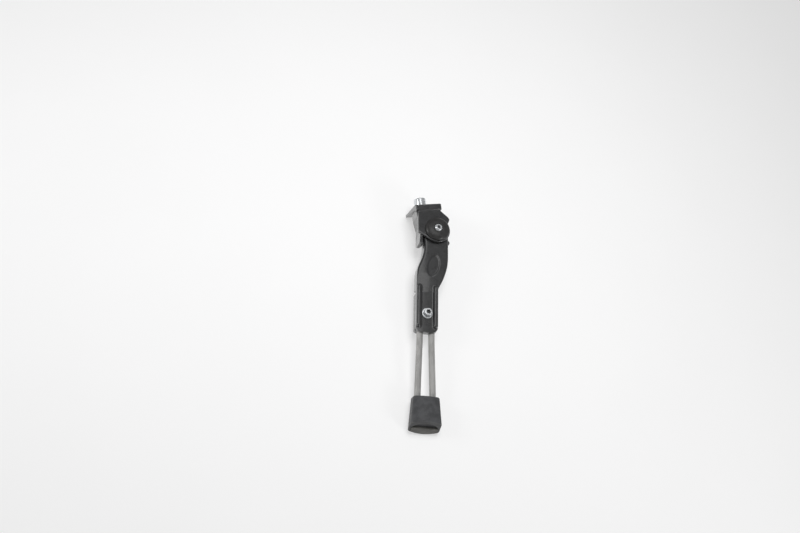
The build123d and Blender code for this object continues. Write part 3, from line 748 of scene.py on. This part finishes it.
def m6_shank(tip):
    """The core of an M6 screw under its head, down to its tapered tip."""
    return [
        (M6_CORE_R, 0.0, 0.0, 0.1),
        (M6_CORE_R, tip + M6_POINT, 0.0, 0.1),
        (M6_CORE_R - M6_POINT, tip, 0.0, 0.1),
        (0.0, tip, 0.0),
    ]


# ---------------------------------------------------------------- grown pieces
class Grower(Graph):
    """A geometry node tree with named inputs, that ends in real instances and a material."""

    def __init__(self, name, inputs):
        super().__init__(bpy.data.node_groups.new(name, "GeometryNodeTree"))
        face = self.tree.interface
        face.new_socket("Geometry", in_out="INPUT", socket_type="NodeSocketGeometry")
        for label, kind in inputs.items():
            face.new_socket(label, in_out="INPUT", socket_type="NodeSocket" + kind)
        face.new_socket("Finish", in_out="INPUT", socket_type="NodeSocketMaterial")
        face.new_socket("Geometry", in_out="OUTPUT", socket_type="NodeSocketGeometry")
        self.start = self.tree.nodes.new("NodeGroupInput")

    def given(self, label):
        """One of the tree's inputs."""
        return Value(self, self.start.outputs[label])

    def swept(self, path, section, caps=True):
        """A section carried along a path."""
        curve = {"Curve": path, "Profile Curve": section, "Fill Caps": caps}
        return self.node("GeometryNodeCurveToMesh", {}, curve)

    def finish(self, geometry):
        """Ends the tree."""
        real = self.node("GeometryNodeRealizeInstances", {}, {"Geometry": geometry})
        smooth = self.node("GeometryNodeSetShadeSmooth", {}, {"Geometry": real})
        values = {"Geometry": smooth, "Material": self.given("Finish")}
        coated = self.node("GeometryNodeSetMaterial", {}, values)
        self.node("NodeGroupOutput", {}, {"Geometry": coated})
        return self.tree


def grown_mesh(tree, values, finish, place, base=None):
    """The plain mesh of a tree, in a frame."""
    carrier = carrier_of(base or bpy.data.meshes.new("seed"))
    modifier = carrier.modifiers.new("grown", "NODES")
    modifier.node_group = tree
    items = tree.interface.items_tree
    sockets = {item.name: item.identifier for item in items if item.in_out == "INPUT"}
    for label, value in {**values, "Finish": finish_named(finish)}.items():
        modifier[sockets[label]] = value
    mesh = settled(carrier)
    mesh.transform(place)
    if not mesh.polygons:
        raise RuntimeError(f"{tree.name} made no faces")
    return mesh


def helix_tree(name):
    """A wire wound into a helix, with a round or a diamond section."""
    lengths = dict.fromkeys(("Radius", "Turns", "Height", "Wire"), "Float")
    tree = Grower(name, {**lengths, "Sides": "Int", "Steps": "Int"})
    spiral = tree.node(
        "GeometryNodeCurveSpiral",
        {},
        {
            "Resolution": tree.given("Steps"),
            "Rotations": tree.given("Turns"),
            "Start Radius": tree.given("Radius"),
            "End Radius": tree.given("Radius"),
            "Height": tree.given("Height"),
        },
    )
    upright = tree.node("GeometryNodeSetCurveNormal", {"mode": "Z_UP"}, {"Curve": spiral})
    section = tree.node(
        "GeometryNodeCurvePrimitiveCircle",
        {"mode": "RADIUS"},
        {"Resolution": tree.given("Sides"), "Radius": tree.given("Wire")},
    )
    return tree.finish(tree.swept(upright, section))


def rod_tree(name):
    """A round rod bent along six corners: wide bends at its splay and tight ones at its foot."""
    tree = Grower(name, {"Radius": "Float", "Splay bend": "Float", "Foot bend": "Float"})
    index = tree.node("GeometryNodeInputIndex")
    near = tree.node("ShaderNodeMath", {"operation": "ABSOLUTE"}, {0: index - 2.5})
    tight = tree.node("ShaderNodeMath", {"operation": "LESS_THAN"}, {0: near, 1: 1.0})
    bend = tree.given("Splay bend") + tight * (tree.given("Foot bend") - tree.given("Splay bend"))
    path = tree.node(
        "GeometryNodeFilletCurve",
        {"mode": "POLY"},
        {"Curve": tree.given("Geometry"), "Radius": bend, "Count": 24, "Limit Radius": True},
    )
    section = tree.node(
        "GeometryNodeCurvePrimitiveCircle",
        {"mode": "RADIUS"},
        {"Resolution": 48, "Radius": tree.given("Radius")},
    )
    return tree.finish(tree.swept(path, section))


def ridge_tree(name):
    """Upright ridges round a turned head, joined to the head itself."""
    tree = Grower(
        name, {"Ridges": "Int", "Radius": "Float", "Low": "Float", "High": "Float", "Depth": "Float"}
    )
    height = tree.given("High") - tree.given("Low")
    ridge = tree.node(
        "GeometryNodeMeshCylinder",
        {"fill_type": "NGON"},
        {"Vertices": 4, "Radius": tree.given("Depth"), "Depth": height},
    )
    circle = tree.node(
        "GeometryNodeMeshCircle", {}, {"Vertices": tree.given("Ridges"), "Radius": tree.given("Radius")}
    )
    middle = (tree.given("High") + tree.given("Low")) * 0.5
    lift = tree.node("ShaderNodeCombineXYZ", {}, {"Z": middle})
    lifted = tree.node("GeometryNodeSetPosition", {}, {"Geometry": circle, "Offset": lift})
    step = math.tau * tree.node("GeometryNodeInputIndex") / tree.given("Ridges")
    turn = tree.node("ShaderNodeCombineXYZ", {}, {"Z": step})
    ridges = tree.node(
        "GeometryNodeInstanceOnPoints", {}, {"Points": lifted, "Instance": ridge, "Rotation": turn}
    )
    joined = tree.node("GeometryNodeJoinGeometry", {}, {"Geometry": ridges})
    tree.tree.links.new(tree.given("Geometry").socket, joined.socket.node.inputs["Geometry"])
    return tree.finish(joined)


def thread_piece(name, body, radius, turns, pitch, depth, steps, finish, place):
    """The thread of a screw, wound up the axis of a frame from its origin."""
    values = {
        "Radius": radius * MM - depth,
        "Turns": turns,
        "Height": turns * pitch * MM,
        "Wire": depth,
        "Sides": 4,
        "Steps": steps,
    }
    mesh = grown_mesh(helix_tree(name + " helix"), values, finish, place)
    return fit_out(new_piece(name, mesh, finish), body, "zinc_steel")


# ---------------------------------------------------------------- operators
class SIDESTAND_OT_castings(bpy.types.Operator):
    """Builds the cast head, the cast leg and its rear clamp plate"""

    bl_idname = "sidestand.castings"
    bl_label = "Castings"

    def execute(self, context):
        sizes = context.scene.side_stand_sizes
        for name, body in (("head_bracket", "head"), ("leg_casting", "leg"), ("rear_clamp_plate", "leg")):
            piece = cast_piece(
                "painted_" + name, name, sizes.casting_cell, sizes.casting_ease, "stand_black_paint"
            )
            fit_out(piece, body, "black_paint", name)
        return {"FINISHED"}


class SIDESTAND_OT_bolt(bpy.types.Operator):
    """Builds the mounting bolt with its washer and lock washer"""

    bl_idname = "sidestand.bolt"
    bl_label = "Mounting bolt"

    def execute(self, context):
        sizes = context.scene.side_stand_sizes
        place = bolt_frame()
        seat = WASHER + LOCK_WASHER
        top = seat + BOLT_HEAD
        floor = top - BOLT_SOCKET_DEPTH
        outline = [
            (0.0, floor - 0.9, 1.0),
            (BOLT_SOCKET, floor, 1.0, 0.15),
            (BOLT_SOCKET, top - 0.3, 1.0, 0.2),
            (BOLT_SOCKET + 0.45, top, 0.6, 0.2),
            (BOLT_HEAD_R, top, 0.0, 1.4),
            (BOLT_HEAD_R, seat, 0.0, 0.35),
            (BOLT_CORE_R, seat, 0.0, 0.3),
            (BOLT_CORE_R, BOLT_POINT - BOLT_TIP, 0.0, 0.2),
            (BOLT_CORE_R - BOLT_POINT_TAPER, -BOLT_TIP, 0.0, 0.2),
            (0.0, -BOLT_TIP, 0.0),
        ]
        bolt = new_piece("bolt_body", turned_mesh(outline, place), "stand_zinc_bolt")
        fit_out(bolt, "head", "zinc_steel", "mounting_bolt")
        thread_piece(
            "bolt_thread",
            "head",
            BOLT_R,
            (BOLT_TIP - BOLT_POINT) / BOLT_PITCH,
            BOLT_PITCH,
            sizes.thread_depth,
            BOLT_THREAD_STEPS,
            "stand_zinc_bolt",
            place @ Matrix.Translation((0.0, 0.0, -(BOLT_TIP - BOLT_THREAD_START) * MM)),
        )
        ring = ring_outline(WASHER_HOLE, WASHER_R, WASHER, 0.2, 0.45, 0.45)
        washer = new_piece("bolt_washer", turned_mesh(ring, place, closed=True), "stand_zinc_bolt")
        fit_out(washer, "head", "zinc_steel", "mounting_washer")
        lock = cut_piece("bolt_lock_washer", "spring_lock_washer", sizes.edge_break, "stand_zinc_bolt")
        fit_out(lock, "head", "zinc_steel", "spring_lock_washer")
        return {"FINISHED"}


class SIDESTAND_OT_pivot(bpy.types.Operator):
    """Builds the pivot pin, its bearings, the detent cam, the cap and the pivot screw"""

    bl_idname = "sidestand.pivot"
    bl_label = "Pivot"

    def execute(self, context):
        sizes = context.scene.side_stand_sizes
        place = turned_frame(leg_point(0.0, 0.0, CHEEK_OUT), OUT)
        cap = [
            (CAP_HOLE, 0.0, 0.0, 0.1),
            (CAP_R, 0.0, 0.0, 0.25),
            (CAP_R, CAP_RIM, 0.0, 0.9),
            (15.1, 3.75, 0.0, 0.9),
            (12.9, 4.9, 0.0, 1.2),
            (10.2, 5.65, 0.0, 1.2),
            (7.4, CAP_TOP, 0.0, 0.8),
            (6.3, CAP_TOP, 0.0, 0.2),
            (CAP_WELL_R, 5.5, 0.0, 0.15),
            (CAP_WELL_R, CAP_SEAT, 0.0, 0.2),
            (CAP_HOLE, CAP_SEAT, 0.0, 0.1),
        ]
        disc = turned_mesh(cap, place, closed=True, segments=CAP_SEGMENTS)
        fit_out(new_piece("cap_disc", disc, "stand_cap_coating"), "head", "black_cap", "pivot_cap")
        head = place @ Matrix.Translation((0.0, 0.0, CAP_SEAT * MM))
        button = [
            *m6_socket(BUTTON_SOCKET, BUTTON_HEIGHT, BUTTON_SOCKET_DEPTH, 0.4),
            (2.9, 3.2, 0.0, 0.3),
            (4.1, 2.5, 0.0, 0.6),
            (4.95, 1.45, 0.0, 0.6),
            (BUTTON_R, 0.5, 0.0, 0.3),
            (BUTTON_R, 0.0, 0.0, 0.1),
            *m6_shank(PIVOT_SCREW_TIP),
        ]
        screw = new_piece("pivot_button_screw", turned_mesh(button, head), "stand_zinc_pivot")
        fit_out(screw, "head", "zinc_steel", "pivot_screw")
        thread_piece(
            "pivot_screw_thread",
            "head",
            M6_R,
            PIVOT_SCREW_TURNS,
            M6_PITCH,
            sizes.thread_depth * M6_THREAD_SHARE,
            M6_THREAD_STEPS,
            "stand_zinc_pivot",
            head @ Matrix.Translation((0.0, 0.0, (PIVOT_SCREW_TIP + PIVOT_THREAD_START) * MM)),
        )
        for name, node, body, slot, finish in (
            ("pin", "pivot_pin", "head", "zinc_steel", "stand_zinc_pivot"),
            ("cam_plate", "detent_cam", "head", "hard_steel", "stand_hard_steel"),
            ("bushes", "pivot_bushes", "leg", "bronze", "stand_bronze"),
            ("outer_thrust_ring", "outer_thrust_washer", "head", "nylon", "stand_nylon"),
            ("inner_thrust_ring", "inner_thrust_washer", "head", "nylon", "stand_nylon"),
        ):
            fit_out(cut_piece(name, node, sizes.edge_break * 0.7, finish), body, slot, node)
        return {"FINISHED"}


class SIDESTAND_OT_detent(bpy.types.Operator):
    """Builds the detent plunger and its coil spring inside the neck"""

    bl_idname = "sidestand.detent"
    bl_label = "Detent"

    def execute(self, context):
        place = turned_frame(leg_point(0.0, -PLUNGER_TIP, 0.0), -UP_LEG)
        nose = [
            (PLUNGER_R * math.sin(turn), PLUNGER_R * (1.0 - math.cos(turn)), 0.0)
            for turn in [math.pi / 2 * step / NOSE_STEPS for step in range(NOSE_STEPS + 1)]
        ]
        outline = nose + [(PLUNGER_R, PLUNGER_LENGTH, 0.0, 0.3), (0.0, PLUNGER_LENGTH, 0.0)]
        rod = turned_mesh(outline, place, segments=PLUNGER_SEGMENTS)
        plunger = new_piece("plunger", rod, "stand_hard_steel")
        fit_out(plunger, "plunger", "hard_steel", "detent_plunger")
        run = SPRING_END - SPRING_START
        coil = grown_mesh(
            helix_tree("detent spring coil"),
            {
                "Radius": SPRING_R * MM,
                "Turns": SPRING_COILS,
                "Height": run * MM,
                "Wire": SPRING_WIRE_R * MM,
                "Sides": 12,
                "Steps": 40,
            },
            "stand_spring_steel",
            place @ Matrix.Translation((0.0, 0.0, (SPRING_START - PLUNGER_TIP) * MM)),
        )
        spring = new_piece("spring_coil", coil, "stand_spring_steel")
        fit_out(spring, "leg", "spring_steel", "detent_spring")
        return {"FINISHED"}


class SIDESTAND_OT_clamp(bpy.types.Operator):
    """Builds the clamp screw with its knurled head, its washer and its nut"""

    bl_idname = "sidestand.clamp"
    bl_label = "Clamp"

    def execute(self, context):
        sizes = context.scene.side_stand_sizes
        place = screw_frame(WEB + CLAMP_SEAT)
        tip = PLATE_BACK + SCREW_TIP_GAP - (WEB + CLAMP_SEAT)
        outline = [
            *m6_socket(SCREW_SOCKET, SCREW_HEAD, SCREW_SOCKET_DEPTH, 0.5),
            (SCREW_HEAD_R - SCREW_HEAD_GAP, SCREW_HEAD, 0.0, 0.7),
            (SCREW_HEAD_R - SCREW_HEAD_GAP, 0.0, 0.0, 0.25),
            *m6_shank(tip),
        ]
        knurl = {
            "Ridges": sizes.knurl_count,
            "Radius": (SCREW_HEAD_R - KNURL_GAP) * MM - sizes.knurl_depth,
            "Low": KNURL_LOW * MM,
            "High": (SCREW_HEAD - KNURL_TOP_GAP) * MM,
            "Depth": sizes.knurl_depth,
        }
        plain = turned_mesh(outline, Matrix.Identity(4))
        body = grown_mesh(ridge_tree("screw head knurl"), knurl, "stand_zinc_clamp", place, plain)
        screw = new_piece("clamp_screw_body", body, "stand_zinc_clamp")
        fit_out(screw, "clamp_bolt", "zinc_steel", "clamp_screw")
        thread_piece(
            "clamp_screw_thread",
            "clamp_bolt",
            M6_R,
            SCREW_TURNS,
            M6_PITCH,
            sizes.thread_depth * M6_THREAD_SHARE,
            M6_THREAD_STEPS,
            "stand_zinc_clamp",
            place @ Matrix.Translation((0.0, 0.0, (tip + M6_POINT) * MM)),
        )
        washer = ring_outline(CLAMP_WASHER_HOLE, CLAMP_WASHER_R, CLAMP_WASHER, 0.15, 0.35, 0.4)
        nut = ring_outline(NUT_HOLE, NUT_HALF, NUT, 0.2, 0.4, 0.4, hexagon=1.0)
        for name, ring, height, node in (
            ("clamp_ring", washer, WEB, "clamp_washer"),
            ("clamp_hex_nut", nut, PLATE_BACK, "clamp_nut"),
        ):
            mesh = turned_mesh(ring, screw_frame(height), closed=True)
            fit_out(new_piece(name, mesh, "stand_zinc_clamp"), "leg", "zinc_steel", node)
        return {"FINISHED"}


class SIDESTAND_OT_rods(bpy.types.Operator):
    """Builds the loop of drawn rod that slides in the leg"""

    bl_idname = "sidestand.rods"
    bl_label = "Rod loop"

    def execute(self, context):
        corners = [
            (-ROD_X, -ROD_TOP),
            (-ROD_X, -ROD_SPLAY),
            (-ROD_END_X, -ROD_END),
            (ROD_END_X, -ROD_END),
            (ROD_X, -ROD_SPLAY),
            (ROD_X, -ROD_TOP),
        ]
        path = bpy.data.curves.new("rod path", "CURVE")
        path.dimensions = "3D"
        run = path.splines.new("POLY")
        run.points.add(len(corners) - 1)
        for point, (x, y) in zip(run.points, corners):
            point.co = ((LEG_X + x) * MM, y * MM, ROD_Z * MM, 1.0)
        bends = {"Splay bend": ROD_SPLAY_BEND * MM, "Foot bend": ROD_END_BEND * MM}
        values = {"Radius": ROD_R * MM, **bends}
        mesh = grown_mesh(rod_tree("rod loop"), values, "stand_drawn_steel", LEG, path)
        loop = new_piece("drawn_rod_loop", mesh, "stand_drawn_steel")
        fit_out(loop, "extension", "satin_steel", "rod_loop")
        return {"FINISHED"}


class SIDESTAND_OT_foot(bpy.types.Operator):
    """Builds the rubber foot, its sole pad and its retaining pin"""

    bl_idname = "sidestand.foot"
    bl_label = "Foot"

    def execute(self, context):
        sizes = context.scene.side_stand_sizes
        shell = cast_piece("foot_boot", "foot_shell", sizes.rubber_cell, FOOT_EASE, "stand_foot_rubber")
        fit_out(shell, "extension", "foot_rubber", "foot_shell")
        sole = cast_piece("foot_pad", "foot_sole", sizes.sole_cell, FOOT_EASE, "stand_sole_rubber")
        fit_out(sole, "extension", "sole_rubber", "foot_sole")
        pin = cut_piece("foot_roll_pin", "foot_pin", sizes.edge_break * 0.6, "stand_spring_steel")
        fit_out(pin, "extension", "spring_steel", "foot_pin")
        return {"FINISHED"}


def area_lamp(name, power, size, place, target):
    """A soft square lamp that looks at a point."""
    data = bpy.data.lights.new(name, "AREA")
    data.shape = "SQUARE"
    data.size = size
    data.energy = power
    lamp = bpy.data.objects.new(name, data)
    lamp.location = place
    lamp.rotation_euler = (Vector(target) - Vector(place)).to_track_quat("-Z", "Y").to_euler()
    bpy.context.scene.collection.objects.link(lamp)
    return lamp


def heading(azimuth, elevation):
    """The direction from the stand towards an azimuth and elevation, in radians."""
    level = math.cos(elevation)
    return Vector((math.sin(azimuth) * level, -math.cos(azimuth) * level, math.sin(elevation)))


class SIDESTAND_OT_stage(bpy.types.Operator):
    """Lays the pale bench and sets the lamps and the camera"""

    bl_idname = "sidestand.stage"
    bl_label = "Stage"

    def execute(self, context):
        scene = context.scene
        stage = scene.side_stand_stage
        scene.view_settings.view_transform = "Standard"
        level = CAD_BOX[0].z - BENCH_GAP
        signs = ((-1, -1), (1, -1), (1, 1), (-1, 1))
        corners = [(x * BENCH_HALF, y * BENCH_HALF, level) for x, y in signs]
        bench = bpy.data.meshes.new("bench")
        bench.from_pydata(corners, [], [(0, 1, 2, 3)])
        new_piece("bench", bench, "stand_bench_top")
        world = bpy.data.worlds.new("white tent")
        world.use_nodes = True
        tent = world.node_tree.nodes["Background"].inputs
        tent["Color"].default_value = (1.0, 1.0, 1.0, 1.0)
        tent["Strength"].default_value = stage.tent
        scene.world = world
        middle = (CAD_BOX[0] + CAD_BOX[1]) / 2
        for name, side in (("left lamp", -1), ("right lamp", 1)):
            turn = stage.azimuth + side * math.radians(SIDE_LAMP_TURN)
            place = middle + heading(turn, math.radians(SIDE_LAMP_RISE)) * SIDE_LAMP_REACH
            area_lamp(name, stage.lamp_power, SIDE_LAMP, place, middle + SIDE_LAMP_AIM)
        above = Vector((middle.x + TOP_LAMP_X, middle.y + TOP_LAMP_Y, TOP_LAMP_HEIGHT))
        below = above - Vector((0.0, 0.0, 1.0))
        matt_power = stage.top_power * (1.0 - stage.sheen)
        area_lamp("top lamp", matt_power, TOP_LAMP, above, below).visible_glossy = False
        lower = above - Vector((0.0, 0.0, SHEEN_DROP))
        area_lamp("sheen lamp", stage.top_power * stage.sheen, TOP_LAMP, lower, below)
        back = heading(stage.azimuth, stage.elevation)
        data = bpy.data.cameras.new("camera")
        data.lens = stage.lens
        data.sensor_width = 36.0
        camera = bpy.data.objects.new("camera", data)
        camera.location = Vector((stage.aim_x, stage.aim_y, 0.0)) + back * stage.distance
        camera.rotation_mode = "QUATERNION"
        level_look = (-back).to_track_quat("-Z", "Y")
        camera.rotation_quaternion = level_look @ Quaternion((0.0, 0.0, 1.0), stage.roll)
        scene.collection.objects.link(camera)
        scene.camera = camera
        return {"FINISHED"}


# ---------------------------------------------------------------- add-on
STEPS = (
    SIDESTAND_OT_castings,
    SIDESTAND_OT_bolt,
    SIDESTAND_OT_pivot,
    SIDESTAND_OT_detent,
    SIDESTAND_OT_clamp,
    SIDESTAND_OT_rods,
    SIDESTAND_OT_foot,
    SIDESTAND_OT_stage,
)


class SIDESTAND_PT_panel(bpy.types.Panel):
    """Lists the stand's pieces, sizes and colours"""

    bl_idname = "SIDESTAND_PT_panel"
    bl_label = "Side stand"
    bl_space_type = "VIEW_3D"
    bl_region_type = "UI"
    bl_category = "Side stand"

    def draw(self, context):
        for step in STEPS:
            self.layout.operator(step.bl_idname)
        for group in (
            context.scene.side_stand_sizes,
            context.scene.side_stand_colours,
            context.scene.side_stand_stage,
        ):
            box = self.layout.box()
            for key in group.bl_rna.properties.keys():
                if key not in {"rna_type", "name"}:
                    box.prop(group, key)


GROUPS = (SideStandSizes, SideStandColours, SideStandStage)
CLASSES = (*GROUPS, *STEPS, SIDESTAND_PT_panel)


def register():
    """Adds the classes and the scene's settings."""
    for cls in CLASSES:
        bpy.utils.register_class(cls)
    bpy.types.Scene.side_stand_sizes = PointerProperty(type=SideStandSizes)
    bpy.types.Scene.side_stand_colours = PointerProperty(type=SideStandColours)
    bpy.types.Scene.side_stand_stage = PointerProperty(type=SideStandStage)


def unregister():
    """Removes them again."""
    del bpy.types.Scene.side_stand_stage
    del bpy.types.Scene.side_stand_colours
    del bpy.types.Scene.side_stand_sizes
    for cls in reversed(CLASSES):
        bpy.utils.unregister_class(cls)


def main():
    """Builds the whole stand."""
    register()
    for step in STEPS:
        group, name = step.bl_idname.split(".")
        getattr(getattr(bpy.ops, group), name)()


if __name__ == "__main__":
    main()
